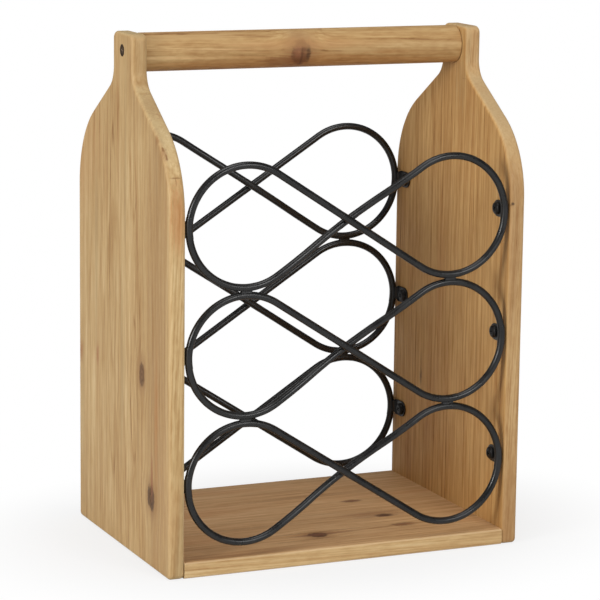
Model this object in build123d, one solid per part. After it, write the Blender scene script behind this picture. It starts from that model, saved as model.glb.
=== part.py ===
from build123d import *
import math
import os

# A bottle caddy that stands on a flat surface. Two bottle-shaped side panels are joined by a
# base board and a round handle. A front and a back rack of figure-of-eight wires, screwed to
# the panels, hold six bottles that lie front to back.
# +X is right as seen from the front, +Y is to the back and +Z is up. The origin is the centre
# of the footprint, at the height of the undersides. Lengths are in millimetres.

# Whole caddy
overall_width = 305.0
panel_depth = 212.0

# Side panels, cut to the outline of a bottle
panel_thickness = 13.5
panel_edge_radius = 3.0
shoulder_above_top_level = 51.05
shoulder_rise = 53.0
shoulder_radius = 75.0
neck_length = 38.0
neck_width = 43.0
neck_base_radius = 20.0
neck_corner_radius = 6.0
foot_corner_radius = 4.0

# Base board between the panels
base_thickness = 13.0
base_edge_radius = 2.5

# Handle dowel between the necks
handle_diameter = 30.8
handle_below_top = 15.8
handle_end_chamfer = 0.8

# Figure-of-eight wires
wire_diameter = 5.8
lobe_clear_diameter = 89.5
lobe_side_gap = 0.6
front_rack_inset = 3.0
back_rack_inset = 5.0
rack_above_base = 8.6
rack_levels = 3
stack_gap = 0.3
crossing_gap = 0.3

# Screw tabs welded behind the outermost point of each lobe
tab_width = 13.5
tab_thickness = 1.6
tab_reach = 16.5
tab_rise = 1.0
tab_weld_gap = 0.4

# Rack screws, with pan heads
rack_head_diameter = 10.4
rack_head_height = 2.9
rack_head_round = 1.7
rack_shank_diameter = 4.0
rack_screw_bite = 11.0

# Handle screws, countersunk flush with the necks, a little above the handle's axis
handle_head_diameter = 9.6
handle_head_height = 2.8
handle_head_rim = 0.4
handle_shank_diameter = 4.5
handle_screw_bite = 26.0
handle_screw_rise = 1.8

# Cross recess and tip that both kinds of screw share
recess_span = 5.0
recess_slot = 1.3
recess_depth = 1.7
tip_length = 3.0

# Hidden pins that hold the base board to the panels
pin_diameter = 6.0
pin_in_panel = 8.0
pin_in_base = 18.0
pin_from_edge = 45.0
pins_per_side = 2

# Clearances
hole_clearance = 0.12
hole_end_clearance = 0.5

# Weld beads
stack_bead_diameter = 5.2
stack_bead_length = 8.0
bead_end_radius = 1.8
crossing_bead_diameter = 6.4
tab_bead_diameter = 2.8
tab_bead_length = 10.0

# Places that follow from the sizes
half_width = overall_width / 2
half_depth = panel_depth / 2
inner_x = half_width - panel_thickness
wire_radius = wire_diameter / 2
lobe_radius = lobe_clear_diameter / 2 + wire_radius
lobe_x = inner_x - lobe_side_gap - lobe_radius - wire_radius
level_pitch = 2 * (lobe_radius + wire_radius) + stack_gap
first_level_z = base_thickness + rack_above_base + lobe_radius + wire_radius
level_heights = [first_level_z + level * level_pitch for level in range(rack_levels)]
shoulder_height = level_heights[-1] + shoulder_above_top_level
neck_base_height = shoulder_height + shoulder_rise
panel_height = neck_base_height + neck_length
handle_z = panel_height - handle_below_top
handle_screw_z = handle_z + handle_screw_rise
pin_spread = half_depth - pin_from_edge

level_names = ["bottom", "middle", "top"] + [f"level_{n + 1}" for n in range(3, rack_levels)]
sides = {"left": -1, "right": 1}
racks = {"front": -1, "back": 1}
rack_y = {-1: front_rack_inset - half_depth, 1: half_depth - back_rack_inset}
tab_screw_y = {rack: rack_y[rack] - rack * tab_reach for rack in racks.values()}
standing = (Align.CENTER, Align.CENTER, Align.MIN)
hanging = (Align.CENTER, Align.CENTER, Align.MAX)


def along_x(x, y, z, sense):
    """Plane at a point, whose own Z axis runs along X in the given sense."""
    return Plane(origin=(x, y, z), x_dir=(0, sense, 0), z_dir=(sense, 0, 0))


def peg(diameter, length):
    """Cylinder that stands on its plane."""
    return Cylinder(diameter / 2, length, align=standing)


def hole(diameter, depth):
    """Cutter for a hole that goes down from its plane, with clearance all round."""
    return Cylinder(diameter / 2 + hole_clearance, depth + hole_end_clearance, align=hanging)


def rack_screw_places():
    """Plane of the seat of every rack screw, on the panels' inner faces."""
    places = []
    for side in sides.values():
        for rack in racks.values():
            for z in level_heights:
                places.append(along_x(side * inner_x, tab_screw_y[rack], z + tab_rise, -side))
    return places


def pin_offsets():
    """Offsets along the depth of the pins in one side."""
    step = 2 * pin_spread / max(pins_per_side - 1, 1)
    return [-pin_spread + n * step for n in range(pins_per_side)]


def countersunk_head(clearance):
    """Rim and cone of a handle screw's head, down from the plane of the outer face."""
    wide = handle_head_diameter / 2 + clearance
    narrow = handle_shank_diameter / 2 + clearance
    rim = Cylinder(wide, handle_head_rim, align=hanging)
    cone = Cone(narrow, wide, handle_head_height - handle_head_rim, align=hanging)
    return rim + Pos(0, 0, -handle_head_rim) * cone


def side_panel(side):
    """Bottle-shaped board with all its edges rounded, drilled for screws and pins."""
    half_neck = neck_width / 2
    right_half = [
        (half_depth, 0),
        (half_depth, shoulder_height),
        (half_neck, neck_base_height),
        (half_neck, panel_height),
    ]
    left_half = [(-y, z) for y, z in reversed(right_half)]
    half_radii = [foot_corner_radius, shoulder_radius, neck_base_radius, neck_corner_radius]
    radii = half_radii + half_radii[::-1]
    outline = FilletPolyline(*right_half, *left_half, radius=radii, close=True)
    board = extrude(Plane.YZ.offset(inner_x) * make_face(outline), panel_thickness)
    board = fillet(board.edges().filter_by(Plane.YZ), panel_edge_radius)
    if side < 0:
        board = mirror(board, Plane.YZ)

    neck_hole = along_x(side * half_width, 0, handle_screw_z, side)
    board -= neck_hole * hole(handle_shank_diameter, panel_thickness)
    board -= neck_hole * countersunk_head(hole_clearance)
    for place in rack_screw_places():
        if place.origin.X * side > 0:
            board -= place * hole(rack_shank_diameter, rack_screw_bite)
    for y in pin_offsets():
        place = along_x(side * inner_x, y, base_thickness / 2, -side)
        board -= place * hole(pin_diameter, pin_in_panel)
    return board


def base_board():
    """Flat board between the panels, with rounded front and back edges."""
    board = Box(2 * inner_x, panel_depth, base_thickness, align=standing)
    board = fillet(board.edges().filter_by(Axis.X), base_edge_radius)
    for side in sides.values():
        for y in pin_offsets():
            place = along_x(side * inner_x, y, base_thickness / 2, side)
            board -= place * hole(pin_diameter, pin_in_base)
    return board


def handle_dowel():
    """Round rod that butts against both necks, with eased ends and a pilot hole in each."""
    rod = along_x(-inner_x, 0, handle_z, 1) * peg(handle_diameter, 2 * inner_x)
    rod = chamfer(rod.edges().filter_by(GeomType.CIRCLE), handle_end_chamfer)
    pilot = hole(handle_shank_diameter, handle_screw_bite)
    for side in sides.values():
        rod -= along_x(side * inner_x, 0, handle_screw_z, side) * pilot
    return rod


def base_pins():
    """Pins half in the panels and half in the base board."""
    pins = []
    for side in sides.values():
        for y in pin_offsets():
            start = along_x(side * (inner_x - pin_in_base), y, base_thickness / 2, side)
            pins.append(start * peg(pin_diameter, pin_in_base + pin_in_panel))
    return pins


def cross_recess():
    """Cutter for the cross in the top of a screw's head, down from its plane."""
    wing = Box(recess_span, recess_slot, recess_depth, align=hanging)
    return wing + Rot(0, 0, 90) * wing


def shank(diameter, length):
    """Pointed shank that hangs down from its plane."""
    radius = diameter / 2
    body = Polyline((0, 0), (radius, 0), (radius, tip_length - length), (0, -length), close=True)
    return revolve(Plane.XZ * make_face(body), Axis.Z)


def rack_screws():
    """Pan-head screws through the tabs into the panels."""
    screws = []
    for place in rack_screw_places():
        head = peg(rack_head_diameter, rack_head_height)
        top_edge = head.edges().filter_by(GeomType.CIRCLE).sort_by(Axis.Z)[-1]
        head = fillet(top_edge, rack_head_round)
        head -= Pos(0, 0, rack_head_height) * cross_recess()
        screw = head + shank(rack_shank_diameter, tab_thickness + rack_screw_bite)
        screws.append(place * Pos(0, 0, tab_thickness) * screw)
    return screws


def handle_screws():
    """Countersunk screws through the necks into the ends of the handle."""
    screws = []
    for side in sides.values():
        screw = countersunk_head(0) + shank(handle_shank_diameter, panel_thickness + handle_screw_bite)
        screw -= cross_recess()
        screws.append(along_x(side * half_width, 0, handle_screw_z, side) * screw)
    return screws


def wire_loop(rack, z):
    """One closed wire: two round lobes joined by straight strands that cross in the middle.

    The strand that falls to the right passes in front of the other. The strand on the outer
    side of the rack stays in the plane of the lobes, and the inner one leaves it and comes
    back by a gentle double bend.
    """
    slope = math.asin(lobe_radius / lobe_x)
    half_run = lobe_x * math.cos(slope)
    lift = wire_diameter + crossing_gap
    bend = 2 * math.atan(lift / half_run)
    bend_radius = half_run / (2 * math.sin(bend))
    quarter_run = bend_radius * math.sin(bend / 2)
    quarter_lift = bend_radius * (1 - math.cos(bend / 2))
    inward = -rack

    def on_strand(run, offset, fall):
        return (run * math.cos(slope), rack_y[rack] + inward * offset, z - fall * run * math.sin(slope))

    def outer_strand(fall):
        return [Line(on_strand(-half_run, 0, fall), on_strand(half_run, 0, fall))]

    def inner_strand(fall):
        start = on_strand(-half_run, 0, fall)
        first = on_strand(-half_run + quarter_run, quarter_lift, fall)
        rise = on_strand(-half_run / 2, lift / 2, fall)
        middle = on_strand(0, lift, fall)
        drop = on_strand(half_run / 2, lift / 2, fall)
        last = on_strand(half_run - quarter_run, quarter_lift, fall)
        end = on_strand(half_run, 0, fall)
        return [
            ThreePointArc(start, first, rise),
            ThreePointArc(rise, middle, drop),
            ThreePointArc(drop, last, end),
        ]

    def lobe(side):
        upper = on_strand(side * half_run, 0, -side)
        outermost = (side * (lobe_x + lobe_radius), rack_y[rack], z)
        lower = on_strand(side * half_run, 0, side)
        return ThreePointArc(upper, outermost, lower)

    runs = [lobe(-1), lobe(1)] + outer_strand(inward) + inner_strand(-inward)
    tubes = []
    for run in runs:
        section = Plane(origin=run @ 0, z_dir=run % 0) * Circle(wire_radius)
        tubes.append(sweep(section, path=run))
    loop = tubes[0]
    for tube in tubes[1:]:
        loop = loop + tube
    return loop


def screw_tab(side, rack, z):
    """Flat tongue with a round end, from the back of the wire to the screw."""
    radius = tab_width / 2
    wire_end = tab_reach - wire_radius - tab_weld_gap
    tongue = Pos(wire_end / 2, 0) * Rectangle(wire_end, tab_width) + Circle(radius)
    hole_radius = rack_shank_diameter / 2 + hole_clearance
    tongue -= Circle(hole_radius)
    place = along_x(side * inner_x, tab_screw_y[rack], z + tab_rise, -side)
    if rack * side > 0:
        tongue = mirror(tongue, Plane.YZ)
    return place * extrude(tongue, tab_thickness)


def stack_beads(loops):
    """Welds where each lobe rests on the lobe below it."""
    beads = []
    for rack_name, rack in racks.items():
        for side in sides.values():
            for level in range(1, rack_levels):
                z = (level_heights[level - 1] + level_heights[level]) / 2
                start = along_x(side * lobe_x - stack_bead_length / 2, rack_y[rack], z, 1)
                bead = peg(stack_bead_diameter, stack_bead_length)
                bead = start * fillet(bead.edges().filter_by(GeomType.CIRCLE), bead_end_radius)
                for near in (level - 1, level):
                    bead -= loops[rack_name, near]
                beads.append(bead)
    return beads


def crossing_beads(loops):
    """Welds where the two strands of each wire cross."""
    beads = []
    between_strands = (wire_diameter + crossing_gap) / 2
    for rack_name, rack in racks.items():
        for level, z in enumerate(level_heights):
            bead = Pos(0, rack_y[rack] - rack * between_strands, z) * Sphere(crossing_bead_diameter / 2)
            beads.append(bead - loops[rack_name, level])
    return beads


def tab_beads(loops, tabs):
    """Welds that join each tab to its wire."""
    beads = []
    radius = tab_bead_diameter / 2
    for side_name, side in sides.items():
        for rack_name, rack in racks.items():
            for level, z in enumerate(level_heights):
                x = side * (inner_x - radius)
                y = rack_y[rack] - rack * wire_radius
                bead = Cylinder(radius, tab_bead_length)
                bead = fillet(bead.edges().filter_by(GeomType.CIRCLE), radius / 2)
                bead = Pos(x, y, z + tab_rise) * bead
                bead -= loops[rack_name, level]
                beads.append(bead - tabs[side_name, rack_name, level])
    return beads


def write(node, *solids):
    """Write one node, as a single solid or as a group of separate ones."""
    whole = []
    for solid in solids:
        whole.extend(solid.solids())
    shape = whole[0] if len(whole) == 1 else Compound(children=whole)
    export_step(shape, f"parts/{node}.step")
    print(node, len(whole), "solids", round(sum(piece.volume for piece in whole)), "mm3")


os.makedirs("parts", exist_ok=True)

for side_name, side in sides.items():
    write(f"{side_name}_side_panel", side_panel(side))
write("base_board", base_board())
write("handle_dowel", handle_dowel())

wire_loops = {}
for rack_name, rack in racks.items():
    for level, z in enumerate(level_heights):
        wire_loops[rack_name, level] = wire_loop(rack, z)
        write(f"{rack_name}_wire_{level_names[level]}", wire_loops[rack_name, level])

screw_tabs = {}
for side_name, side in sides.items():
    for rack_name, rack in racks.items():
        for level, z in enumerate(level_heights):
            screw_tabs[side_name, rack_name, level] = screw_tab(side, rack, z)
            name = f"screw_tab_{rack_name}_{side_name}_{level_names[level]}"
            write(name, screw_tabs[side_name, rack_name, level])

write("stack_welds", *stack_beads(wire_loops))
write("crossing_welds", *crossing_beads(wire_loops))
write("tab_welds", *tab_beads(wire_loops, screw_tabs))
write("rack_screws", *rack_screws())
write("handle_screws", *handle_screws())
write("base_pins", *base_pins())
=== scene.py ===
import math
import random

import bmesh
import bpy
from mathutils import Matrix, Vector


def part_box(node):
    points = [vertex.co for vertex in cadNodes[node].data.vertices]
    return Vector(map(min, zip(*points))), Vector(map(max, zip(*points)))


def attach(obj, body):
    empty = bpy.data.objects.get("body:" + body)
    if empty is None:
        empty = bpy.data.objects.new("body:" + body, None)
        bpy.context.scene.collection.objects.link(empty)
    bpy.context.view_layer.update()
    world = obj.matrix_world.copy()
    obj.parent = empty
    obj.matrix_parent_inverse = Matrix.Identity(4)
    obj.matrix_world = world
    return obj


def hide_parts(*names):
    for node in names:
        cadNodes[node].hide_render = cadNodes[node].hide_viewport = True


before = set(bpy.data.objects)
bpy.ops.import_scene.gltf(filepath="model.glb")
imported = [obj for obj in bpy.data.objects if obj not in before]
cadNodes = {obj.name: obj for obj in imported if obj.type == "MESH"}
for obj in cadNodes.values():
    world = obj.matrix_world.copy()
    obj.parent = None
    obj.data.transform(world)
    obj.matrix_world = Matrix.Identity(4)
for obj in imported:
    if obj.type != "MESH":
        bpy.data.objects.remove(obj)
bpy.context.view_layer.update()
scene = bpy.context.scene
print("frame loaded,", len(cadNodes), "nodes")

mm = 0.001


# Short ways to build a node tree: each takes sockets or plain values and gives back a socket

def feed(tree, socket, value):
    if isinstance(value, bpy.types.NodeSocket):
        tree.links.new(value, socket)
    else:
        socket.default_value = value


def addNode(tree, kind, inputs=None, **settings):
    node = tree.nodes.new(kind)
    for name, value in settings.items():
        setattr(node, name, value)
    for name, value in (inputs or {}).items():
        feed(tree, node.inputs[name], value)
    return node


def calc(tree, operation, *values):
    node = addNode(tree, "ShaderNodeMath", operation=operation)
    for socket, value in zip(node.inputs, values):
        feed(tree, socket, value)
    return node.outputs[0]


def vectorCalc(tree, operation, *values):
    node = addNode(tree, "ShaderNodeVectorMath", operation=operation)
    names = ["Vector", "Scale"] if operation == "SCALE" else [0, 1, 2]
    for name, value in zip(names, values):
        feed(tree, node.inputs[name], value)
    return node.outputs["Value" if operation in ("LENGTH", "DOT_PRODUCT") else "Vector"]


def noise(tree, vector, scale, detail=2.0, colour=False):
    node = addNode(tree, "ShaderNodeTexNoise", {"Vector": vector, "Scale": scale, "Detail": detail})
    return node.outputs["Color" if colour else 0]


def remap(tree, value, low, high, toLow=0.0, toHigh=1.0):
    ends = {"Value": value, "From Min": low, "From Max": high, "To Min": toLow, "To Max": toHigh}
    return addNode(tree, "ShaderNodeMapRange", ends, interpolation_type="SMOOTHSTEP").outputs[0]


def ramp(tree, factor, stops):
    node = addNode(tree, "ShaderNodeValToRGB", {0: factor})
    elements = node.color_ramp.elements
    for extra in range(len(stops) - 2):
        elements.new(0.5)
    for element, (place, colour) in zip(elements, stops):
        element.position = place
        element.color = (*colour, 1.0)
    return node.outputs[0]


def mixColour(tree, factor, first, second, blend="MIX"):
    node = addNode(tree, "ShaderNodeMix", {0: factor}, data_type="RGBA", blend_type=blend)
    for index, value in ((6, first), (7, second)):
        feed(tree, node.inputs[index], (*value, 1.0) if isinstance(value, tuple) else value)
    return node.outputs[2]


def newMaterial(name):
    material = bpy.data.materials.new(name)
    material.use_nodes = True
    tree = material.node_tree
    tree.nodes.clear()
    return material, tree


def millimetres(tree):
    place = addNode(tree, "ShaderNodeTexCoord").outputs["Object"]
    return vectorCalc(tree, "SCALE", place, 1.0 / mm)


def finishSurface(tree, colour, roughness, height, depth, **fixed):
    bump = addNode(tree, "ShaderNodeBump", {"Height": height, "Distance": depth, "Strength": 1.0})
    shader = addNode(tree, "ShaderNodeBsdfPrincipled",
                     {"Base Color": colour, "Roughness": roughness, "Normal": bump.outputs[0]})
    for name, value in fixed.items():
        shader.inputs[name.replace("_", " ")].default_value = value
    output = addNode(tree, "ShaderNodeOutputMaterial")
    tree.links.new(shader.outputs[0], output.inputs["Surface"])


def paint(names, material):
    for name in names:
        slots = cadNodes[name].data.materials
        slots.clear()
        slots.append(material)


# Wood: growth rings round a pith beside the board, fibres along it, loops of figure, knots and marks

woodTones = {
    "pale": (0.640, 0.450, 0.222),
    "honey": (0.530, 0.338, 0.146),
    "amber": (0.405, 0.226, 0.084),
    "brown": (0.235, 0.110, 0.036),
    "blush": (0.505, 0.262, 0.100),
    "cool": (0.440, 0.330, 0.170),
    "knotHeart": (0.074, 0.034, 0.014),
    "umber": (0.108, 0.046, 0.016),
    "knotRim": (0.060, 0.028, 0.012),
    "knotHalo": (0.340, 0.180, 0.074),
    "rust": (0.200, 0.082, 0.036),
    "clay": (0.300, 0.130, 0.062),
    "orange": (0.480, 0.200, 0.060),
    "red": (0.330, 0.115, 0.045),
    "soot": (0.062, 0.032, 0.018),
}
washes = {  # multiplied in, so that the grain stays as strong under them
    "shade": (0.80, 0.735, 0.69),
    # light also serves as a painted highlight along the left panel's inner arris
    "light": (1.13, 1.18, 1.25),
    # russet also serves as painted shade along the underside of the handle
    "russet": (0.88, 0.72, 0.60),
    "ash": (0.87, 0.92, 1.00),
}


def ovalDistance(tree, spot, place, wander):
    # 1 on the rim of an uneven oval round a point
    offset = vectorCalc(tree, "SUBTRACT", place, spot["at"])
    uneven = vectorCalc(tree, "ADD", offset, vectorCalc(tree, "SCALE", wander, spot["ragged"]))
    return offset, vectorCalc(tree, "LENGTH", vectorCalc(tree, "DIVIDE", uneven, spot["half"]))


knotLook = {  # where each part is whole and where it has faded, as shares of the way from heart to rim
    "bend": (0.4, 4.0), "halo": (0.7, 2.5), "heart": (0.60, 1.25),
    "rimAt": 0.80, "rimWidth": 0.36, "rings": 2.2,
}


def bendRoundKnot(tree, knot, offset, distance, bent):
    push = remap(tree, distance, *knotLook["bend"], knot["push"], 0.0)
    across = vectorCalc(tree, "MULTIPLY", offset, knot["across"])
    return vectorCalc(tree, "SUBTRACT", bent, vectorCalc(tree, "SCALE", across, push))


def knotColour(tree, knot, distance, colour):
    halo = remap(tree, distance, *knotLook["halo"], knot["halo"], 0.0)
    colour = mixColour(tree, halo, colour, woodTones["knotHalo"])
    rings = calc(tree, "PINGPONG", calc(tree, "MULTIPLY", distance, knotLook["rings"]), 0.5)
    heart = mixColour(tree, rings, woodTones[knot["heart"]], woodTones[knot["outer"]])
    inside = remap(tree, distance, *knotLook["heart"], knot["strength"], 0.0)
    colour = mixColour(tree, inside, colour, heart)
    fromRim = calc(tree, "ABSOLUTE", calc(tree, "SUBTRACT", distance, knotLook["rimAt"]))
    rim = remap(tree, fromRim, 0.0, knotLook["rimWidth"], knot["rim"], 0.0)
    return mixColour(tree, rim, colour, woodTones["knotRim"])


figureLook = {"lineWidth": 0.18, "fade": 0.7, "heart": (0.4, 0.8)}  # shares of a loop's half size


def figureLines(tree, figure, place, drift):
    # nested long loops, as where growth rings just graze the face
    distance = ovalDistance(tree, figure, place, drift)[1]
    turn = calc(tree, "DIVIDE", calc(tree, "SUBTRACT", distance, 1.0), figure["step"])
    line = remap(tree, calc(tree, "PINGPONG", turn, 0.5), 0.0, figureLook["lineWidth"], 1.0, 0.0)
    fade = remap(tree, distance, figure["reach"] - figureLook["fade"], figure["reach"], figure["share"], 0.0)
    fade = calc(tree, "MULTIPLY", fade, remap(tree, distance, *figureLook["heart"]))
    return calc(tree, "MULTIPLY", line, fade)


markLook = {"fade": (0.35, 1.25), "feather": 0.7}


def mark(tone, strength, at, half, ragged, feather=1.0):
    # a fleck, a streak or a wash: an oval in mm that fades towards its rim and frays along the fibres
    return {"tone": tone, "strength": strength, "at": at, "half": half, "ragged": ragged, "feather": feather}


def markColour(tree, spot, distance, colour):
    share = remap(tree, distance, *markLook["fade"], spot["strength"], 0.0)
    if spot["tone"] in washes:
        return mixColour(tree, share, colour, washes[spot["tone"]], "MULTIPLY")
    return mixColour(tree, share, colour, woodTones[spot["tone"]])


ringLook = {
    "wave": {"along": 0.16, "scale": 0.013},  # the slow and the quick straying of the rings
    "ripple": {"along": 0.10, "scale": 0.085},
    "season": [(0.0, 0.0), (0.45, 0.12), (0.82, 1.0), (1.0, 0.0)],  # darkness through one year
    "yearScale": 0.37, "years": (0.38, 0.66), "palest": 0.10,  # some years are darker than others
}
grainLook = {  # drawn out along the grain, scale in 1/mm, and the noise between low and high becomes 0 to 1
    "fibre": {"along": 0.018, "scale": 0.70, "detail": 3.0, "low": 0.30, "high": 0.70},
    "streak": {"along": 0.014, "scale": 0.24, "detail": 2.0, "low": 0.36, "high": 0.64},
    "broad": {"along": 0.10, "scale": 0.030, "detail": 2.0, "low": 0.34, "high": 0.66},
    "mottle": {"along": 0.24, "scale": 0.40, "detail": 2.0, "low": 0.30, "high": 0.70},
    "fleck": {"along": 0.070, "scale": 0.75, "detail": 1.0, "low": 0.62, "high": 0.78},
}
stainLook = {  # patches of another tone
    "blush": {"along": 0.06, "scale": 0.050, "low": 0.54, "high": 0.76, "offset": (0.0, 0.0, 0.0)},
    "cool": {"along": 0.05, "scale": 0.07, "low": 0.55, "high": 0.75, "offset": (310.0, 90.0, 50.0)},
}
boardLook = {
    "tones": [(0.06, "pale"), (0.42, "honey"), (0.80, "amber"), (1.0, "brown")],  # by darkness of the grain
    "wanderScale": 0.30, "driftScale": 0.022,  # unevenness of spots, and of loops of figure
    "flat": (0.45, 0.90),  # from the edges of a board to its flat faces, by the way the surface faces
    "end": (0.30, 0.90), "endLines": (0.20, 0.80),  # from long grain to end grain, for each
    "endSaw": (0.10, 0.45), "endCorner": (0.15, 0.60),
    "ringsLeft": 0.25, "linesLeft": 0.45, "cornerLeft": 0.45,  # what end grain keeps of each
    "sawMottle": 0.7, "sawMean": 0.85,  # the mean is taken off, so that sawn edges stay as light
    "rounding": (0.10, 0.25),
    "fibreRelief": 0.6, "ringRelief": 0.5, "relief": 0.00010,
    "fibreRough": 0.14, "endRough": 0.12,
}


def along(tree, grain, factor):
    return vectorCalc(tree, "MULTIPLY", grain, (1.0, 1.0, factor))


def straying(tree, vector, scale):
    return vectorCalc(tree, "SUBTRACT", noise(tree, vector, scale, colour=True), (0.5, 0.5, 0.5))


def facingAlong(tree, axis):
    normal = addNode(tree, "ShaderNodeNewGeometry").outputs["Normal"]
    return calc(tree, "ABSOLUTE", vectorCalc(tree, "DOT_PRODUCT", normal, axis))


def lateWood(tree, board, grain):
    toPith = vectorCalc(tree, "SUBTRACT", grain, board["pith"])
    for bend in ("wave", "ripple"):
        look = ringLook[bend]
        stray = straying(tree, along(tree, grain, look["along"]), look["scale"])
        toPith = vectorCalc(tree, "ADD", toPith, vectorCalc(tree, "SCALE", stray, board[bend]))
    radius = vectorCalc(tree, "LENGTH", vectorCalc(tree, "MULTIPLY", toPith, (1.0, 1.0, 0.0)))
    years = calc(tree, "DIVIDE", radius, board["ringWidth"])
    season = [(stop, (darkness,) * 3) for stop, darkness in ringLook["season"]]
    late = ramp(tree, calc(tree, "FRACT", years), season)
    year = addNode(tree, "ShaderNodeTexNoise", {"W": years, "Scale": ringLook["yearScale"]},
                   noise_dimensions="1D").outputs[0]
    return calc(tree, "MULTIPLY", late, remap(tree, year, *ringLook["years"], ringLook["palest"], 1.0))


def grainLayers(tree, grain):
    layers = {}
    for name, look in grainLook.items():
        cloud = noise(tree, along(tree, grain, look["along"]), look["scale"], look["detail"])
        layers[name] = remap(tree, cloud, look["low"], look["high"])
    return layers


def stained(tree, board, grain, colour):
    for tone, look in stainLook.items():
        spread = vectorCalc(tree, "ADD", along(tree, grain, look["along"]), look["offset"])
        cloud = noise(tree, spread, look["scale"], 1.0)
        share = remap(tree, cloud, look["low"], look["high"], 0.0, board[tone])
        colour = mixColour(tree, share, colour, woodTones[tone])
    return colour


def cornerHighlightShare(tree, board, flat, endOn):
    # a painted highlight, largest halfway round a rounded corner, where the surface faces both ways
    square = calc(tree, "MULTIPLY", flat, flat)
    both = calc(tree, "MULTIPLY", square, calc(tree, "SUBTRACT", 1.0, square))
    corner = remap(tree, both, *boardLook["rounding"], 0.0, board["corner"])
    kept = remap(tree, endOn, *boardLook["endCorner"], 1.0, boardLook["cornerLeft"])
    return calc(tree, "MULTIPLY", corner, kept)


def makeWood(name, board):
    material, tree = newMaterial(name)
    place = millimetres(tree)
    wander = straying(tree, place, boardLook["wanderScale"])
    drift = straying(tree, place, boardLook["driftScale"])
    bent = place
    distances = []
    for knot in board["knots"]:
        offset, distance = ovalDistance(tree, knot, place, wander)
        bent = bendRoundKnot(tree, knot, offset, distance, bent)
        distances.append(distance)
    grain = addNode(tree, "ShaderNodeMapping", {"Vector": bent, "Rotation": board["turn"]}).outputs[0]
    grain = vectorCalc(tree, "ADD", grain, board["shift"])  # so that two boards never match

    # growth rings, of which end grain shows little
    endOn = facingAlong(tree, board["grainAxis"])
    flat = facingAlong(tree, board["flatAxis"])
    endGrain = remap(tree, endOn, *boardLook["end"])
    late = lateWood(tree, board, grain)
    late = calc(tree, "MULTIPLY", late, remap(tree, endGrain, 0.0, 1.0, 1.0, boardLook["ringsLeft"]))

    # sawn edges show the fibres more than planed faces, and the bands less
    layers = grainLayers(tree, grain)
    fibre = layers["fibre"]
    coarse = calc(tree, "MULTIPLY_ADD", layers["mottle"], boardLook["sawMottle"], fibre)
    coarse = calc(tree, "SUBTRACT", coarse, boardLook["sawMean"])
    sawn = remap(tree, flat, *boardLook["flat"], board["sawn"], 0.0)
    sawn = calc(tree, "MULTIPLY", sawn, remap(tree, endOn, *boardLook["endSaw"], 1.0, 0.0))
    calm = remap(tree, flat, *boardLook["flat"], board["calm"], 1.0)
    late = calc(tree, "MULTIPLY", late, calm)
    for band in ("streak", "broad"):
        layers[band] = calc(tree, "MULTIPLY_ADD", calc(tree, "SUBTRACT", layers[band], 0.5), calm, 0.5)

    # every part of the grain adds its share of darkness
    shares = board["shares"]
    dark = calc(tree, "MULTIPLY_ADD", late, shares["rings"], shares["base"])
    dark = calc(tree, "MULTIPLY_ADD", coarse, sawn, dark)
    for layer, part in layers.items():
        share = shares[layer]
        lined = remap(tree, endOn, *boardLook["endLines"], share, boardLook["linesLeft"] * share)
        dark = calc(tree, "MULTIPLY_ADD", part, lined, dark)
    for figure in board["figures"]:
        dark = calc(tree, "ADD", dark, figureLines(tree, figure, place, drift))
    colour = ramp(tree, dark, [(stop, woodTones[tone]) for stop, tone in boardLook["tones"]])
    colour = stained(tree, board, grain, colour)

    # faces and edges of a board take the stain differently, and its rounded corners get a painted highlight
    tint = mixColour(tree, remap(tree, flat, *boardLook["flat"]), board["edgeTint"], board["tint"])
    colour = mixColour(tree, 1.0, colour, tint, "MULTIPLY")
    # end grain is multiplied duller and darker: partly its own tone, partly painted shade where the side
    # panels' shoulders face up
    colour = mixColour(tree, endGrain, colour, board["endToneAndShade"], "MULTIPLY")
    colour = mixColour(tree, cornerHighlightShare(tree, board, flat, endOn), colour, board["cornerHighlightTone"])

    # knots and marks run out along the fibres
    feather = calc(tree, "MULTIPLY_ADD", fibre, markLook["feather"], -markLook["feather"] / 2)
    for knot, distance in zip(board["knots"], distances):
        frayed = calc(tree, "MULTIPLY_ADD", feather, knot["feather"], distance)
        colour = knotColour(tree, knot, frayed, colour)
    for spot in board["marks"]:
        distance = ovalDistance(tree, spot, place, wander)[1]
        frayed = calc(tree, "MULTIPLY_ADD", feather, spot["feather"], distance)
        colour = markColour(tree, spot, frayed, colour)

    height = calc(tree, "MULTIPLY", late, boardLook["ringRelief"])
    height = calc(tree, "MULTIPLY_ADD", fibre, boardLook["fibreRelief"], height)
    roughness = calc(tree, "MULTIPLY_ADD", fibre, boardLook["fibreRough"], board["rough"])
    roughness = calc(tree, "MULTIPLY_ADD", endGrain, boardLook["endRough"], roughness)
    finishSurface(tree, colour, roughness, height, boardLook["relief"], Specular_IOR_Level=board["specular"])
    return material


upright = (0.0, math.radians(-2.0), 0.0)
sideways = (0.0, math.radians(-91.4), 0.0)  # turns the grain from up and down to left and right
plainShares = {
    "base": 0.03, "rings": 0.27, "fibre": 0.24, "streak": 0.24, "broad": 0.18, "mottle": 0.09, "fleck": 0.13,
}
plainKnot = {"push": 0.6, "heart": "knotHeart", "outer": "knotHalo", "feather": 0.4}
plainBoard = {
    "turn": upright, "grainAxis": (0.0, 0.0, 1.0), "flatAxis": (1.0, 0.0, 0.0), "shift": (0.0, 0.0, 0.0),
    "shares": plainShares, "blush": 0.20, "cool": 0.15, "sawn": 0.20, "calm": 0.80,
    "tint": (1.0, 1.0, 1.0), "edgeTint": (1.0, 1.0, 1.0), "endToneAndShade": (0.86, 0.89, 0.92),
    "corner": 0.40, "cornerHighlightTone": (0.66, 0.47, 0.24), "rough": 0.50, "specular": 0.28,
    "knots": [], "marks": [], "figures": [],
}

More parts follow.
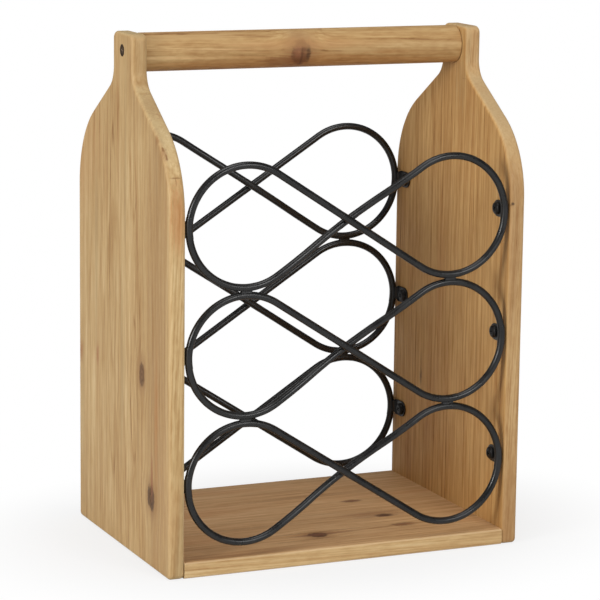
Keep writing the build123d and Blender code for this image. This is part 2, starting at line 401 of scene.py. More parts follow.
boards = {
    "leftPanelWood": {
        "nodes": ["left_side_panel"],
        "pith": (-68, 20, 0), "ringWidth": 5.2, "wave": 15, "ripple": 2.6,
        "cool": 0.30, "tint": (1.02, 1.045, 1.08), "edgeTint": (1.03, 1.05, 1.06), "sawn": 0.18,
        "knots": [
            {**plainKnot, "at": (-152.5, -66.8, 57.4), "half": (90, 7.4, 9.6), "across": (0, 1, 0),
             "ragged": 4, "halo": 0.65, "strength": 0.96, "rim": 0.40},
            {**plainKnot, "at": (-152.5, -46, 152), "half": (90, 5.8, 9.4), "across": (0, 1, 0),
             "ragged": 4, "halo": 0.65, "strength": 0.92, "rim": 0.30, "heart": "umber"},
        ],
        "figures": [
            {"at": (-152.5, 21.5, 242), "half": (90, 7.5, 98), "ragged": 7,
             "step": 0.87, "reach": 2.6, "share": 0.26},
            {"at": (-152.5, -27.6, 330), "half": (90, 7.5, 55), "ragged": 6,
             "step": 0.9, "reach": 1.7, "share": 0.20},
            {"at": (-152.5, -27.6, 136), "half": (90, 8, 56), "ragged": 6,
             "step": 0.9, "reach": 1.7, "share": 0.18},
        ],
        "marks": [
            mark("shade", 0.95, at=(-152.5, -79, 190), half=(4.5, 23, 330), ragged=5),
            mark("light", 0.80, at=(-152.5, -20, 190), half=(4.5, 12, 190), ragged=5),
            mark("light", 0.55, at=(-152.5, 42, 235), half=(4.5, 10, 60), ragged=5),
            mark("light", 0.60, at=(-152.5, 84, 112), half=(4.5, 20, 70), ragged=5),
            mark("light", 0.40, at=(-152.5, 0, 24), half=(4.5, 46, 24), ragged=5),
            mark("orange", 0.36, at=(-152.5, -78, 122), half=(90, 4.6, 62), ragged=3),
            mark("brown", 0.55, at=(-152.5, 21.3, 334), half=(3, 2.2, 9), ragged=1.4),
            mark("red", 0.55, at=(-152.5, -68.5, 76), half=(90, 3, 17), ragged=2),
            mark("amber", 0.50, at=(-152.5, -49, 130), half=(90, 3, 16), ragged=2),
            mark("red", 0.52, at=(-152.5, 59.7, 148), half=(3, 3.6, 10), ragged=3),
            mark("red", 0.50, at=(-152.5, 100, 144), half=(4, 5, 11), ragged=4),
            mark("amber", 0.22, at=(-152.5, 118, 20), half=(90, 30, 60), ragged=20),
            mark("orange", 0.22, at=(-152.5, 88, 330), half=(90, 40, 60), ragged=20),
            mark("orange", 0.52, at=(-145, -108, 285), half=(7.5, 14, 29), ragged=4),
            mark("russet", 0.30, at=(-147, -108, 285), half=(6, 14, 26), ragged=4),
            mark("russet", 0.36, at=(-147.5, -108, 48), half=(5, 14, 36), ragged=4),
            mark("russet", 0.26, at=(-152.5, -94, 82), half=(4.5, 12, 62), ragged=4),
            # painted highlight along the rounded inner arris of the front edge
            mark("light", 0.85, at=(-139.6, -106, 96), half=(2.2, 8, 66), ragged=1.5),
            mark("light", 0.50, at=(-145, -108, 190), half=(9, 12, 80), ragged=4),
            mark("shade", 0.40, at=(-146, -106, 6), half=(12, 12, 60), ragged=4),
            mark("shade", 0.75, at=(-144, -20, 388), half=(12, 11, 50), ragged=4),
            mark("light", 0.50, at=(-145, -86, 334), half=(6, 24, 24), ragged=4),
            mark("brown", 0.62, at=(-145, -100, 314.6), half=(5.4, 12, 0.7), ragged=0.8, feather=0.4),
            mark("brown", 0.40, at=(-145.4, -100, 312), half=(0.6, 12, 4), ragged=0.8, feather=0.4),
            mark("shade", 0.90, at=(-144, -44, 361), half=(12, 16, 22), ragged=4),
            mark("knotHalo", 0.60, at=(-150.2, -88.4, 332.2), half=(2.8, 6.4, 8), ragged=2.2, feather=0.6),
            mark("brown", 0.85, at=(-150.4, -86, 335.2), half=(1.1, 2.6, 3), ragged=1.2, feather=0.4),
            mark("brown", 0.75, at=(-149.4, -90.8, 329.4), half=(1, 2.4, 3), ragged=1.2, feather=0.4),
            mark("knotHalo", 0.75, at=(-151.9, -77.6, 342), half=(1.2, 3.6, 6.4), ragged=1.6, feather=0.4),
            mark("red", 0.40, at=(-143, -52, 356), half=(3.4, 6, 2.2), ragged=3),
        ],
    },
    "rightPanelWood": {
        "nodes": ["right_side_panel"], "shift": (0, 0, 700),
        "pith": (182, -150, 0), "ringWidth": 6, "wave": 12, "ripple": 2.2,
        "cool": 0.06, "tint": (1.05, 0.93, 0.75), "edgeTint": (0.98, 0.935, 0.915), "calm": 0.40,
        "corner": 0.16, "endToneAndShade": (0.85, 0.88, 0.92),
        "shares": {**plainShares, "base": -0.04, "rings": 0.38, "fibre": 0.32, "streak": 0.28, "broad": 0.14},
        "figures": [
            {"at": (139, 40, 210), "half": (90, 12, 150), "ragged": 9,
             "step": 0.8, "reach": 3.2, "share": 0.14},
        ],
        "marks": [
            mark("shade", 0.90, at=(142.5, -107, 262), half=(8.5, 12, 88), ragged=3),
            mark("soot", 0.65, at=(139, 49.5, 110.5), half=(3, 2.2, 7.5), ragged=1.6),
            mark("brown", 0.50, at=(139, 49.5, 120), half=(3, 1.8, 16), ragged=1.6),
            mark("soot", 0.92, at=(141.2, -106, 281.8), half=(1.8, 3.4, 1.4), ragged=1.6, feather=0.2),
            mark("brown", 0.60, at=(139.4, -104, 280.6), half=(2.6, 4, 0.9), ragged=0.8, feather=0.2),
            mark("ash", 0.90, at=(139.6, -14, 385), half=(5, 12, 42), ragged=3),
            mark("brown", 0.45, at=(146, -20, 374), half=(9, 8, 0.6), ragged=0.8),
            mark("shade", 0.80, at=(146, -106, 14), half=(14, 12, 56), ragged=4),
        ],
    },
    "baseWood": {
        "nodes": ["base_board"], "shift": (0, 0, 1500),
        "turn": sideways, "grainAxis": (1, 0, 0), "flatAxis": (0, 0, 1),
        "pith": (60, 10, 0), "ringWidth": 5, "wave": 15, "ripple": 2.6,
        "blush": 0.35, "cool": 0.10, "tint": (1.15, 1.10, 1.20), "edgeTint": (1.15, 1.19, 1.26),
        "corner": 0.45, "cornerHighlightTone": (0.78, 0.59, 0.34), "sawn": 0.10,
        "shares": {**plainShares, "base": 0.08, "rings": 0.24, "fibre": 0.28, "streak": 0.22, "broad": 0.12},
        "knots": [
            {**plainKnot, "at": (-9, -68, 13), "half": (8, 6.6, 60), "across": (0, 1, 0),
             "ragged": 5, "halo": 0.75, "strength": 1, "rim": 0.40, "heart": "soot", "outer": "red"},
        ],
        "marks": [
            mark("rust", 0.60, at=(-4, -67, 13), half=(30, 4, 3), ragged=4),
            mark("brown", 0.45, at=(-2, -60, 13), half=(44, 2.4, 3), ragged=4),
            mark("brown", 0.40, at=(-20, -79, 13), half=(38, 2.4, 3), ragged=4),
            mark("soot", 0.95, at=(67.5, -31.5, 13), half=(8, 6, 3), ragged=5),
            mark("rust", 0.85, at=(60.7, 19.7, 13), half=(9, 5, 3), ragged=5),
            mark("rust", 0.75, at=(70, -62.8, 13), half=(11, 5, 3), ragged=5),
            mark("rust", 0.40, at=(62, -26, 13), half=(34, 13, 3), ragged=8),
            mark("shade", 0.90, at=(-88, -97, 13), half=(64, 8, 3), ragged=5),
            mark("light", 0.45, at=(-95, 20, 13), half=(60, 50, 3), ragged=14),
            mark("brown", 0.35, at=(30, 46, 13), half=(60, 4, 3), ragged=6),
            mark("brown", 0.30, at=(-60, -30, 13), half=(60, 4, 3), ragged=6),
        ],
    },
    "handleWood": {
        "nodes": ["handle_dowel"], "shift": (0, 0, 2300),
        "turn": sideways, "grainAxis": (1, 0, 0),
        "pith": (-350, 24, 0), "ringWidth": 3.4, "wave": 10, "ripple": 1.8,
        "blush": 0.50, "cool": 0, "tint": (0.95, 0.92, 0.87), "edgeTint": (0.95, 0.92, 0.87),
        "corner": 0, "sawn": 0,
        "shares": {**plainShares, "base": 0, "rings": 0.28, "streak": 0.28, "broad": 0.20, "mottle": 0.24},
        "knots": [
            {**plainKnot, "at": (-5.6, -15.4, 398.6), "half": (8, 60, 10), "across": (0, 0, 1),
             "ragged": 4, "halo": 0.85, "strength": 0.97, "rim": 0.30, "heart": "rust", "outer": "brown",
             "feather": 0.15},
        ],
        "marks": [
            mark("rust", 0.50, at=(-22, -12, 392), half=(17, 16, 4.4), ragged=4),
            mark("clay", 0.65, at=(-8.4, -15, 400), half=(4.6, 20, 6), ragged=2, feather=0.5),
            mark("knotRim", 0.60, at=(1, -15, 398.4), half=(2, 20, 8.6), ragged=1.2, feather=0.3),
            mark("knotRim", 0.45, at=(-4.6, -15, 396), half=(1.2, 20, 9), ragged=1.2, feather=0.3),
            # painted shade along the underside of the handle
            mark("russet", 0.95, at=(0, -6, 388), half=(170, 30, 11), ragged=2),
            mark("blush", 0.45, at=(-5.6, -15, 405), half=(70, 12, 5), ragged=5),
            mark("light", 0.80, at=(-122, -14, 400), half=(24, 14, 16), ragged=4),
            mark("light", 0.75, at=(-94, -15.4, 398.5), half=(44, 9, 6), ragged=4),
            mark("honey", 0.70, at=(-100, -10, 413), half=(54, 8, 4.5), ragged=3),
            mark("honey", 0.70, at=(40, -15.3, 399.9), half=(22, 9, 3), ragged=2.4),
        ],
    },
    "pinWood": {
        "nodes": ["base_pins"], "shift": (0, 0, 3100),
        "turn": sideways, "grainAxis": (1, 0, 0),
        "pith": (40, 30, 0), "ringWidth": 2, "wave": 4, "ripple": 0.8,
    },
}
for name, board in boards.items():
    paint(board["nodes"], makeWood(name, {**plainBoard, **board}))
print("boards, handle and pins finished")


# Coatings: a satin powder coat on the wires, a thinner black on the rack screws, a brown black in the necks

coats = {
    "wireCoat": {"dark": (0.006, 0.006, 0.006), "light": (0.012, 0.012, 0.012), "rough": 0.24,
                 "grain": 1.6, "relief": 0.000003, "specular": 0.48},
    "weldCoat": {"dark": (0.006, 0.006, 0.006), "light": (0.012, 0.012, 0.012), "rough": 0.27,
                 "grain": 1.0, "relief": 0.00002, "specular": 0.48},
    "screwBlack": {"dark": (0.004, 0.004, 0.004), "light": (0.011, 0.010, 0.010), "rough": 0.32,
                   "grain": 3.4, "relief": 0.000006, "specular": 0.30},
    "screwBrown": {"dark": (0.026, 0.015, 0.007), "light": (0.052, 0.031, 0.016), "rough": 0.44,
                   "grain": 3.4, "relief": 0.000006, "specular": 0.14,
                   "recessWearAndHighlight": {"axis": (0.0, 0.0, 403.0), "radius": 2.7, "face": 152.5, "edge": 0.3,
                            "tone": (0.34, 0.25, 0.18)}},
}


cloudLook = {"scale": 0.08, "detail": 3.0, "low": 0.35, "high": 0.65, "rougher": 0.10}


def paintRecessWearAndHighlight(tree, place, recessWearAndHighlight, colour):
    # the walls of the recess are painted lighter: partly coating rubbed off by the driver, partly a painted
    # highlight
    fromAxis = vectorCalc(tree, "SUBTRACT", place, recessWearAndHighlight["axis"])
    fromAxis = vectorCalc(tree, "LENGTH", vectorCalc(tree, "MULTIPLY", fromAxis, (0.0, 1.0, 1.0)))
    fromMiddle = vectorCalc(tree, "LENGTH", vectorCalc(tree, "MULTIPLY", place, (1.0, 0.0, 0.0)))
    near = remap(tree, fromAxis, recessWearAndHighlight["radius"] - recessWearAndHighlight["edge"], recessWearAndHighlight["radius"], 1.0, 0.0)
    sunk = remap(tree, fromMiddle, recessWearAndHighlight["face"] - recessWearAndHighlight["edge"], recessWearAndHighlight["face"], 1.0, 0.0)
    return mixColour(tree, calc(tree, "MULTIPLY", near, sunk), colour, recessWearAndHighlight["tone"])


def makeCoat(name, coat):
    material, tree = newMaterial(name)
    place = millimetres(tree)
    pebble = noise(tree, place, coat["grain"])
    cloud = noise(tree, place, cloudLook["scale"], cloudLook["detail"])
    cloud = remap(tree, cloud, cloudLook["low"], cloudLook["high"])
    colour = mixColour(tree, cloud, coat["dark"], coat["light"])
    if "recessWearAndHighlight" in coat:
        colour = paintRecessWearAndHighlight(tree, place, coat["recessWearAndHighlight"], colour)
    roughness = calc(tree, "MULTIPLY_ADD", cloud, cloudLook["rougher"], coat["rough"])
    finishSurface(tree, colour, roughness, pebble, coat["relief"], Specular_IOR_Level=coat["specular"])
    return material


coatOf = {name: makeCoat(name, coat) for name, coat in coats.items()}
print("coatings finished")


# Geometry helpers

def geometryTree(name, sockets):
    tree = bpy.data.node_groups.new(name, "GeometryNodeTree")
    for label, kind in sockets:
        tree.interface.new_socket(label, in_out="INPUT", socket_type=kind)
    tree.interface.new_socket("Geometry", in_out="OUTPUT", socket_type="NodeSocketGeometry")
    return tree, addNode(tree, "NodeGroupInput").outputs


def closeTree(tree, geometry, material):
    whole = addNode(tree, "GeometryNodeRealizeInstances", {0: geometry}).outputs[0]
    smooth = addNode(tree, "GeometryNodeSetShadeSmooth", {"Geometry": whole}).outputs[0]
    coated = addNode(tree, "GeometryNodeSetMaterial", {"Geometry": smooth, "Material": material}).outputs[0]
    feed(tree, addNode(tree, "NodeGroupOutput").inputs[0], coated)


def addObject(name, data):
    piece = bpy.data.objects.new(name, data)
    scene.collection.objects.link(piece)
    return piece


def settle(piece, name):
    # the evaluated shape as a plain mesh on an object of its own
    bpy.context.view_layer.update()
    mesh = bpy.data.meshes.new_from_object(piece.evaluated_get(bpy.context.evaluated_depsgraph_get()))
    bpy.data.objects.remove(piece)
    mesh.name = name
    return addObject(name, mesh)


def growNodes(piece, tree, values, name):
    modifier = piece.modifiers.new("build", "NODES")
    modifier.node_group = tree
    for item in tree.interface.items_tree:
        if item.in_out == "INPUT" and item.name in values:
            modifier[item.identifier] = values[item.name]
    return settle(piece, name)


def meshFromShape(name, shape):
    bmesh.ops.recalc_face_normals(shape, faces=shape.faces)
    mesh = bpy.data.meshes.new(name)
    shape.to_mesh(mesh)
    shape.free()
    return mesh


def lathe(name, profile, steps):
    # turns (radius, height) points round Z; the first and last lie on the axis
    shape = bmesh.new()
    rings = []
    for radius, height in profile:
        if radius == 0:
            rings.append([shape.verts.new((0, 0, height * mm))] * steps)
            continue
        ring = []
        for step in range(steps):
            angle = 2 * math.pi * step / steps
            x, y = radius * mm * math.cos(angle), radius * mm * math.sin(angle)
            ring.append(shape.verts.new((x, y, height * mm)))
        rings.append(ring)
    for lower, upper in zip(rings, rings[1:]):
        for step in range(steps):
            after = (step + 1) % steps
            corners = [lower[step], lower[after], upper[after], upper[step]]
            corners = [corner for place, corner in enumerate(corners) if corner not in corners[:place]]
            shape.faces.new(corners)
    return meshFromShape(name, shape)


def placedPoints(name, places):
    # one vertex a place, with the way its copy faces and the way its long side points
    mesh = bpy.data.meshes.new(name)
    mesh.from_pydata([place for place, facing, reach in places], [], [])
    for label, index in (("facing", 1), ("reach", 2)):
        values = mesh.attributes.new(label, "FLOAT_VECTOR", "POINT").data
        for value, place in zip(values, places):
            value.vector = place[index]
    return addObject(name, mesh)


def repeatTree():
    sockets = [("Geometry", "NodeSocketGeometry"), ("Copied", "NodeSocketObject"),
               ("Coat", "NodeSocketMaterial")]
    tree, given = geometryTree("repeatAtPlaces", sockets)
    turns = None
    for label, axis in (("facing", "Z"), ("reach", "X")):
        vector = addNode(tree, "GeometryNodeInputNamedAttribute", {"Name": label}, data_type="FLOAT_VECTOR")
        align = addNode(tree, "FunctionNodeAlignRotationToVector", {"Vector": vector.outputs[0]},
                        axis=axis, pivot_axis="AUTO" if turns is None else "Z")
        if turns is not None:
            tree.links.new(turns, align.inputs["Rotation"])
        turns = align.outputs[0]
    copied = addNode(tree, "GeometryNodeObjectInfo", {"Object": given["Copied"]}).outputs["Geometry"]
    spread = addNode(tree, "GeometryNodeInstanceOnPoints",
                     {"Points": given["Geometry"], "Instance": copied, "Rotation": turns})
    closeTree(tree, spread.outputs[0], given["Coat"])
    return tree


repeatAtPlaces = repeatTree()


def finishPiece(piece, coat, slot, *replaced):
    piece.data.materials.clear()
    piece.data.materials.append(coatOf[coat])
    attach(piece, "root")
    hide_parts(*replaced)
    print(piece.name, len(piece.data.polygons), "faces")


def repeatPiece(name, original, places, coat, slot, *replaced):
    points = placedPoints(name + "Places", places)
    piece = growNodes(points, repeatAtPlaces, {"Copied": original, "Coat": coatOf[coat]}, name)
    bpy.data.objects.remove(original)
    finishPiece(piece, coat, slot, *replaced)


# Wires: one closed path each, two round lobes and two straight strands that cross

wires = {
    "radius": 2.9, "lift": 6.1,  # from one strand up to the other where they cross
    "sides": 28, "lobeSteps": 96, "strandSteps": 64,
    "racks": {"front": -1, "back": 1}, "levels": ["bottom", "middle", "top"],
}


def readWire(node, rack):
    low, high = (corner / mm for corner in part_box(node))
    outer = (high.z - low.z) / 2
    plane = low.y + wires["radius"] if rack < 0 else high.y - wires["radius"]
    return {"lobe": outer - wires["radius"], "middle": high.x - outer, "level": (high.z + low.z) / 2,
            "plane": plane, "rack": rack}


def readWires():
    return {rackName: [readWire(f"{rackName}_wire_{level}", rack) for level in wires["levels"]]
            for rackName, rack in wires["racks"].items()}


rackWires = readWires()
anyWire = rackWires["front"][0]  # all have the same lobes


def strandRun(wire):
    # the slope of the straight strands, and their length from the crossing to a lobe
    slope = math.asin(wire["lobe"] / wire["middle"])
    return slope, wire["middle"] * math.cos(slope)


def strandPoint(wire, run, fall, lift):
    # a point on a straight strand, so far along it from the crossing; the lifted one has two gentle bends
    slope, halfRun = strandRun(wire)
    share = abs(run) / halfRun
    bulge = 1 - 2 * share * share if share < 0.5 else 2 * (1 - share) ** 2
    return run * math.cos(slope), lift * bulge, -fall * run * math.sin(slope)


def wirePath(wire):
    slope, halfRun = strandRun(wire)
    points = []

    def lobe(side):
        for step in range(wires["lobeSteps"]):
            angle = (math.pi / 2 + slope) * (2 * step / wires["lobeSteps"] - 1)
            points.append((side * (wire["middle"] + wire["lobe"] * math.cos(angle)), 0.0,
                           wire["lobe"] * math.sin(angle)))

    def strand(fall, lift):
        for step in range(wires["strandSteps"]):
            run = fall * halfRun * (2 * step / wires["strandSteps"] - 1)
            points.append(strandPoint(wire, run, fall, lift))

    inward = -wire["rack"] * wires["lift"]
    frontFirst = wire["rack"] < 0
    lobe(1)
    strand(-1, inward if frontFirst else 0.0)
    lobe(-1)
    strand(1, 0.0 if frontFirst else inward)
    return [(x * mm, (y + wire["plane"]) * mm, (z + wire["level"]) * mm) for x, y, z in points]


def sweepTree():
    sockets = [("Geometry", "NodeSocketGeometry"), ("Radius", "NodeSocketFloat"),
               ("Sides", "NodeSocketInt"), ("Coat", "NodeSocketMaterial")]
    tree, given = geometryTree("sweptWire", sockets)
    section = addNode(tree, "GeometryNodeCurvePrimitiveCircle",
                      {"Resolution": given["Sides"], "Radius": given["Radius"]}, mode="RADIUS").outputs[0]
    tube = addNode(tree, "GeometryNodeCurveToMesh",
                   {"Curve": given["Geometry"], "Profile Curve": section, "Fill Caps": True}).outputs[0]
    closeTree(tree, tube, given["Coat"])
    return tree


sweptWire = sweepTree()


def sweepWire(name, path, radius, cyclic=True):
    curve = bpy.data.curves.new(name + "Path", "CURVE")
    curve.dimensions = "3D"
    spline = curve.splines.new("POLY")
    spline.points.add(len(path) - 1)
    for point, place in zip(spline.points, path):
        point.co = (*place, 1.0)
    spline.use_cyclic_u = cyclic
    values = {"Radius": radius * mm, "Sides": wires["sides"], "Coat": coatOf["wireCoat"]}
    return growNodes(addObject(name + "Path", curve), sweptWire, values, name)


def makeWires():
    for rackName, found in rackWires.items():
        for level, wire in zip(wires["levels"], found):
            piece = sweepWire(rackName + "Wire" + level.capitalize(), wirePath(wire), wires["radius"])
            finishPiece(piece, "wireCoat", "wire_coating", f"{rackName}_wire_{level}")


makeWires()


# Screw tabs: flat tongues with a round end, one at the outermost point of each lobe

tabs = {
    "half": 6.75, "hole": 2.15, "steps": 40,
    "bevel": 0.4, "bevelSteps": 3, "bevelFrom": 50,  # degrees
}
tabNodes = [name for name in cadNodes if name.startswith("screw_tab")]


def readTabs():
    # seat of the screw, the way the head faces and the way the tongue reaches, read from the CAD nodes
    places = []
    for node in sorted(tabNodes):
        low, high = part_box(node)
        side = 1 if low.x > 0 else -1
        rack = 1 if low.y > 0 else -1
        x = high.x if side > 0 else low.x
        y = (low.y if rack > 0 else high.y) + rack * tabs["half"] * mm
        places.append(((x, y, (low.z + high.z) / 2), (-side, 0.0, 0.0), (0.0, rack, 0.0)))
    return places


def makeTabs(places):
    low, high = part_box("screw_tab_front_left_top")
    thick = (high.x - low.x) / mm
    reach = (high.y - low.y) / mm - tabs["half"]
    shape = bmesh.new()
    loops = []
    for height in (0.0, thick):
        outer, inner = [], []
        for step in range(tabs["steps"]):
            angle = 2 * math.pi * (step + 0.5) / tabs["steps"]
            away = (math.cos(angle), math.sin(angle))
            stretch = tabs["half"]
            if away[0] > 0:  # the end at the wire is straight, with square corners
                stretch = min(reach / away[0], tabs["half"] / max(abs(away[1]), 0.001))
            outer.append(shape.verts.new([part * stretch * mm for part in away] + [height * mm]))
            inner.append(shape.verts.new([part * tabs["hole"] * mm for part in away] + [height * mm]))
        loops.append((outer, inner))
    (lowOuter, lowInner), (highOuter, highInner) = loops
    walls = ((lowOuter, lowInner), (highInner, highOuter), (highOuter, lowOuter), (lowInner, highInner))
    for step in range(tabs["steps"]):
        after = (step + 1) % tabs["steps"]
        for first, second in walls:
            shape.faces.new([first[step], second[step], second[after], first[after]])
    tab = addObject("screwTabShape", meshFromShape("screwTabShape", shape))
    bevel = tab.modifiers.new("pressed edge", "BEVEL")
    bevel.width = tabs["bevel"] * mm
    bevel.segments = tabs["bevelSteps"]
    bevel.limit_method = "ANGLE"
    bevel.angle_limit = math.radians(tabs["bevelFrom"])
    tab = settle(tab, "screwTabShape")
    repeatPiece("screwTabs", tab, places, "wireCoat", "wire_coating", *tabNodes)


tabPlaces = readTabs()
makeTabs(tabPlaces)


# Screws: pan heads on the tabs, countersunk heads in the necks, both with a cross recess

screws = {  # profiles are (radius, height) from the tip to the top of the head
    "steps": 48, "sharpFrom": 32,  # degrees
    "pan": [(0, -9.4), (1.9, -6.4), (2.0, 0.0), (5.1, 0.0), (5.2, 0.35), (5.17, 0.95), (5.02, 1.5),
            (4.7, 2.0), (4.15, 2.4), (3.4, 2.66), (2.4, 2.82), (1.2, 2.89), (0, 2.9)],
    "flat": [(0, -39.5), (2.1, -36.5), (2.25, -2.8), (4.7, -0.45), (4.8, -0.3), (4.8, -0.12), (4.7, 0.0),
             (0, 0.0)],
    "recess": {"span": 5.0, "slot": 1.25, "endSpan": 2.2, "endSlot": 0.75, "depth": 1.9, "above": 0.4},
    "seed": 11, "neckTurns": (0.2, 0.9),
}


def crossCutter(top, turn):
    recess = screws["recess"]
    shape = bmesh.new()
    corners = []
    for span, slot, height in ((recess["span"], recess["slot"], top + recess["above"]),
                               (recess["endSpan"], recess["endSlot"], top - recess["depth"])):
        for x, y in ((-span, -slot), (span, -slot), (span, slot), (-span, slot)):
            corners.append(shape.verts.new((x / 2 * mm, y / 2 * mm, height * mm)))
    bmesh.ops.convex_hull(shape, input=corners)
    bmesh.ops.rotate(shape, verts=shape.verts, matrix=Matrix.Rotation(turn, 3, "Z"))
    return addObject("crossCutter", meshFromShape("crossCutter", shape))


def makeScrew(name, profile):
    screw = addObject(name, lathe(name, profile, screws["steps"]))
    cutters = [crossCutter(profile[-1][1], turn) for turn in (0.0, math.pi / 2)]
    for cutter in cutters:
        cut = screw.modifiers.new("recess", "BOOLEAN")
        cut.object = cutter
        cut.solver = "EXACT"
    screw = settle(screw, name)
    for cutter in cutters:
        bpy.data.objects.remove(cutter)
    screw.data.shade_smooth()
    screw.data.set_sharp_from_angle(angle=math.radians(screws["sharpFrom"]))
    return screw


def makeScrews(places):
    chance = random.Random(screws["seed"])
    low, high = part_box("screw_tab_front_left_top")
    thick = high.x - low.x
    onTabs = []
    for seat, facing, reach in places:
        turn = Matrix.Rotation(chance.uniform(0, math.pi / 2), 3, facing)
        onTabs.append((Vector(seat) + Vector(facing) * thick, facing, turn @ Vector(reach)))
    panScrew = makeScrew("panScrew", screws["pan"])
    repeatPiece("rackScrews", panScrew, onTabs, "screwBlack", "screw_finish", "rack_screws")

    low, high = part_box("handle_screws")
    inNecks = []
    for x, side in ((low.x, -1), (high.x, 1)):
        turn = Matrix.Rotation(chance.uniform(*screws["neckTurns"]), 3, "X")
        inNecks.append(((x, 0.0, (low.z + high.z) / 2), (side, 0.0, 0.0), turn @ Vector((0.0, 0.0, 1.0))))
    flatScrew = makeScrew("flatScrew", screws["flat"])
    repeatPiece("handleScrews", flatScrew, inNecks, "screwBrown", "screw_finish", "handle_screws")


makeScrews(tabPlaces)


# Welds: each is a bead fused with a sleeve of the wires it joins, so that it runs out smoothly

welds = {
    "overWire": 0.10, "voxel": 0.32, "easing": 6, "easeShare": 0.5, "sleeveSteps": 10, "beadSteps": 8,
    "stackReach": 9.0, "stackBead": 1.9, "stackBeadHalf": 4.5, "stackGap": 0.3,
    "crossReach": 9.0, "crossBead": 2.7, "crossBeadHalf": 1.6,
    "tabReach": 8.5, "tabBead": 1.5, "tabBeadHalf": 5.0, "tabBeadLevel": 0.75,  # share of the thickness
    "tabStart": 9.5, "tabHalf": 5.6, "underTab": 0.1,
}


def arcPath(reach, toPoint):
    # along a lobe, for as far to each side of a point on it
    lobe = anyWire["lobe"]
    path = []
    for step in range(welds["sleeveSteps"] + 1):
        angle = (2 * step / welds["sleeveSteps"] - 1) * reach / lobe
        path.append(Vector(toPoint(lobe * math.sin(angle), lobe * (1 - math.cos(angle)))) * mm)
    return path


def sleeve(path):
    return sweepWire("sleeve", path, wires["radius"] + welds["overWire"], False)


def bead(ends, radius):
    start, end = Vector(ends[0]), Vector(ends[1])
    path = [start.lerp(end, step / welds["beadSteps"]) * mm for step in range(welds["beadSteps"] + 1)]
    return sweepWire("bead", path, radius, False)


def fuse(name, pieces):
    shape = bmesh.new()
    for piece in pieces:
        shape.from_mesh(piece.data)
        bpy.data.objects.remove(piece)
    joined = addObject(name, meshFromShape(name, shape))
    remesh = joined.modifiers.new("fuse", "REMESH")
    remesh.mode = "VOXEL"
    remesh.voxel_size = welds["voxel"] * mm
    remesh.use_smooth_shade = True
    ease = joined.modifiers.new("ease", "SMOOTH")
    ease.factor = welds["easeShare"]
    ease.iterations = welds["easing"]
    return settle(joined, name)


def repeatWeld(name, pieces, places, node):
    repeatPiece(name + "s", fuse(name, pieces), places, "weldCoat", "wire_coating", node)


def makeStackWelds():
    gap = wires["radius"] + welds["stackGap"] / 2
    pieces = []
    for up in (-1, 1):
        pieces.append(sleeve(arcPath(welds["stackReach"], lambda run, rise: (run, 0.0, up * (gap + rise)))))
    half = welds["stackBeadHalf"]
    pieces.append(bead(((-half, 0, 0), (half, 0, 0)), welds["stackBead"]))
    places = []
    for found in rackWires.values():
        for lower, upper in zip(found, found[1:]):
            for side in (-1, 1):
                touch = (side * lower["middle"], lower["plane"], (lower["level"] + upper["level"]) / 2)
                places.append((Vector(touch) * mm, (0.0, 0.0, 1.0), (1.0, 0.0, 0.0)))
    repeatWeld("stackWeld", pieces, places, "stack_welds")


def makeCrossingWelds():
    steps = welds["sleeveSteps"]
    runs = [welds["crossReach"] * (2 * step / steps - 1) for step in range(steps + 1)]
    pieces = []
    for fall, lift in ((1, 0.0), (-1, wires["lift"])):
        pieces.append(sleeve([Vector(strandPoint(anyWire, run, fall, lift)) * mm for run in runs]))
    half, level = welds["crossBeadHalf"], wires["lift"] / 2
    pieces.append(bead(((-half, level, 0), (half, level, 0)), welds["crossBead"]))
    places = []
    for found in rackWires.values():
        for wire in found:
            crossing = Vector((0.0, wire["plane"], wire["level"])) * mm
            places.append((crossing, (0.0, 0.0, 1.0), (-wire["rack"], 0.0, 0.0)))
    repeatWeld("crossingWeld", pieces, places, "crossing_welds")


def makeTabWelds(places):
    low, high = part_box("screw_tab_front_left_bottom")
    thick = (high.x - low.x) / mm
    seat, facing, toWire = places[0]
    reach = abs(seat[1] / mm - rackWires["front" if toWire[1] < 0 else "back"][0]["plane"])
    away = abs(low.x) / mm - anyWire["middle"] - anyWire["lobe"]
    pieces = [sleeve(arcPath(welds["tabReach"], lambda run, rise: (reach, run, away + rise)))]
    edge = reach - wires["radius"]
    half, level = welds["tabBeadHalf"], thick * welds["tabBeadLevel"]
    pieces.append(bead(((edge, -half, level), (edge, half, level)), welds["tabBead"]))
    shape = bmesh.new()
    size = (edge - welds["tabStart"], 2 * welds["tabHalf"], thick - welds["underTab"])
    middle = Vector(((edge + welds["tabStart"]) / 2, 0.0, thick / 2 + welds["underTab"]))
    bmesh.ops.create_cube(shape, size=1.0)
    for vert in shape.verts:
        vert.co = (Vector(part * whole for part, whole in zip(vert.co, size)) + middle) * mm
    pieces.append(addObject("tongue", meshFromShape("tongue", shape)))
    repeatWeld("tabWeld", pieces, places, "tab_welds")


makeStackWelds()
makeCrossingWelds()
makeTabWelds(tabPlaces)
print("wires, welds and screws finished")


# Floor, light and camera

floorSettings = {"size": 12.0, "drop": 0.0002, "footprint": (0.16, 0.12, 1.0), "whiteFrom": 2.1,
                 "white": (0.80, 0.80, 0.80), "shadowShare": 0.24}


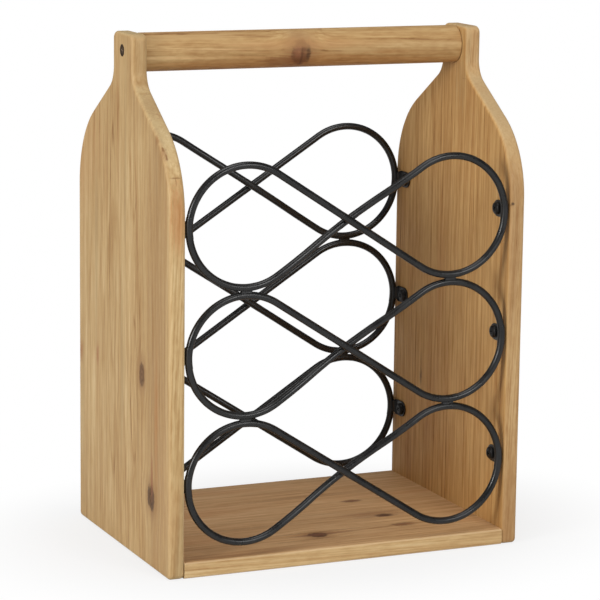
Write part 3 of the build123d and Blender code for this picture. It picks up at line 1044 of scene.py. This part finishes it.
def makeFloor():
    half, level = floorSettings["size"] / 2, -floorSettings["drop"]
    corners = [(-half, -half, level), (half, -half, level), (half, half, level), (-half, half, level)]
    mesh = bpy.data.meshes.new("paleFloor")
    mesh.from_pydata(corners, [], [(0, 1, 2, 3)])
    floor = addObject("paleFloor", mesh)
    material, tree = newMaterial("paleFloorPaint")
    plain = addNode(tree, "ShaderNodeBsdfDiffuse", {"Color": (*floorSettings["white"], 1.0)})
    glow = addNode(tree, "ShaderNodeEmission", {"Color": (1.0, 1.0, 1.0, 1.0), "Strength": 1.0})
    place = addNode(tree, "ShaderNodeTexCoord").outputs["Object"]
    away = vectorCalc(tree, "LENGTH", vectorCalc(tree, "DIVIDE", place, floorSettings["footprint"]))
    path = addNode(tree, "ShaderNodeLightPath").outputs
    share = remap(tree, away, 1.0, floorSettings["whiteFrom"], 1.0 - floorSettings["shadowShare"], 1.0)
    blend = addNode(tree, "ShaderNodeMixShader", {0: calc(tree, "MULTIPLY", path["Is Camera Ray"], share)})
    tree.links.new(plain.outputs[0], blend.inputs[1])
    tree.links.new(glow.outputs[0], blend.inputs[2])
    tree.links.new(blend.outputs[0], addNode(tree, "ShaderNodeOutputMaterial").inputs["Surface"])
    mesh.materials.append(material)


worldSettings = {"ambient": 0.33, "mirrored": 0.16}


def makeWorld():
    world = bpy.data.worlds.new("paleRoom")
    world.use_nodes = True
    tree = world.node_tree
    tree.nodes.clear()
    path = addNode(tree, "ShaderNodeLightPath").outputs
    seen = calc(tree, "MAXIMUM", path["Is Camera Ray"], path["Is Transmission Ray"])
    ambient, mirrored = worldSettings["ambient"], worldSettings["mirrored"]
    room = calc(tree, "MULTIPLY_ADD", path["Is Glossy Ray"], mirrored - ambient, ambient)
    strength = addNode(tree, "ShaderNodeMapRange", {"Value": seen, "To Min": room, "To Max": 1.0}).outputs[0]
    back = addNode(tree, "ShaderNodeBackground", {"Color": (1.0, 1.0, 1.0, 1.0), "Strength": strength})
    tree.links.new(back.outputs[0], addNode(tree, "ShaderNodeOutputWorld").inputs["Surface"])
    scene.world = world


lampSettings = {
    "leftLamp": {"place": (-2.4, -0.9, 0.9), "size": 0.8, "power": 32.5},
    "frontLamp": {"place": (0.7, -2.4, 1.1), "size": 1.0, "power": 19.5},
    "topLamp": {"place": (-0.1, -0.3, 2.4), "size": 1.4, "power": 17.5},
}
lampAim = (0.0, 0.0, 0.2)


def makeLamps():
    for name, lamp in lampSettings.items():
        light = bpy.data.lights.new(name, "AREA")
        light.size = lamp["size"]
        light.energy = lamp["power"]
        holder = addObject(name, light)
        holder.location = lamp["place"]
        aim = Vector(lampAim) - holder.location
        holder.rotation_euler = aim.to_track_quat("-Z", "Y").to_euler()


cameraSettings = {
    "place": (-0.86812, -1.98904, 0.59818),
    "turn": (79.4493, -0.6783, -23.5137),  # degrees
    "lens": 161.244, "sensor": 36.0, "clipEnd": 50.0,
}


def makeCamera():
    camera = addObject("studioCamera", bpy.data.cameras.new("studioCamera"))
    camera.location = cameraSettings["place"]
    camera.rotation_euler = [math.radians(angle) for angle in cameraSettings["turn"]]
    camera.data.lens = cameraSettings["lens"]
    camera.data.sensor_width = cameraSettings["sensor"]
    camera.data.clip_end = cameraSettings["clipEnd"]
    scene.camera = camera


makeFloor()
makeWorld()
makeLamps()
makeCamera()
scene.view_settings.view_transform = "Standard"
print("floor, lamps and camera placed")
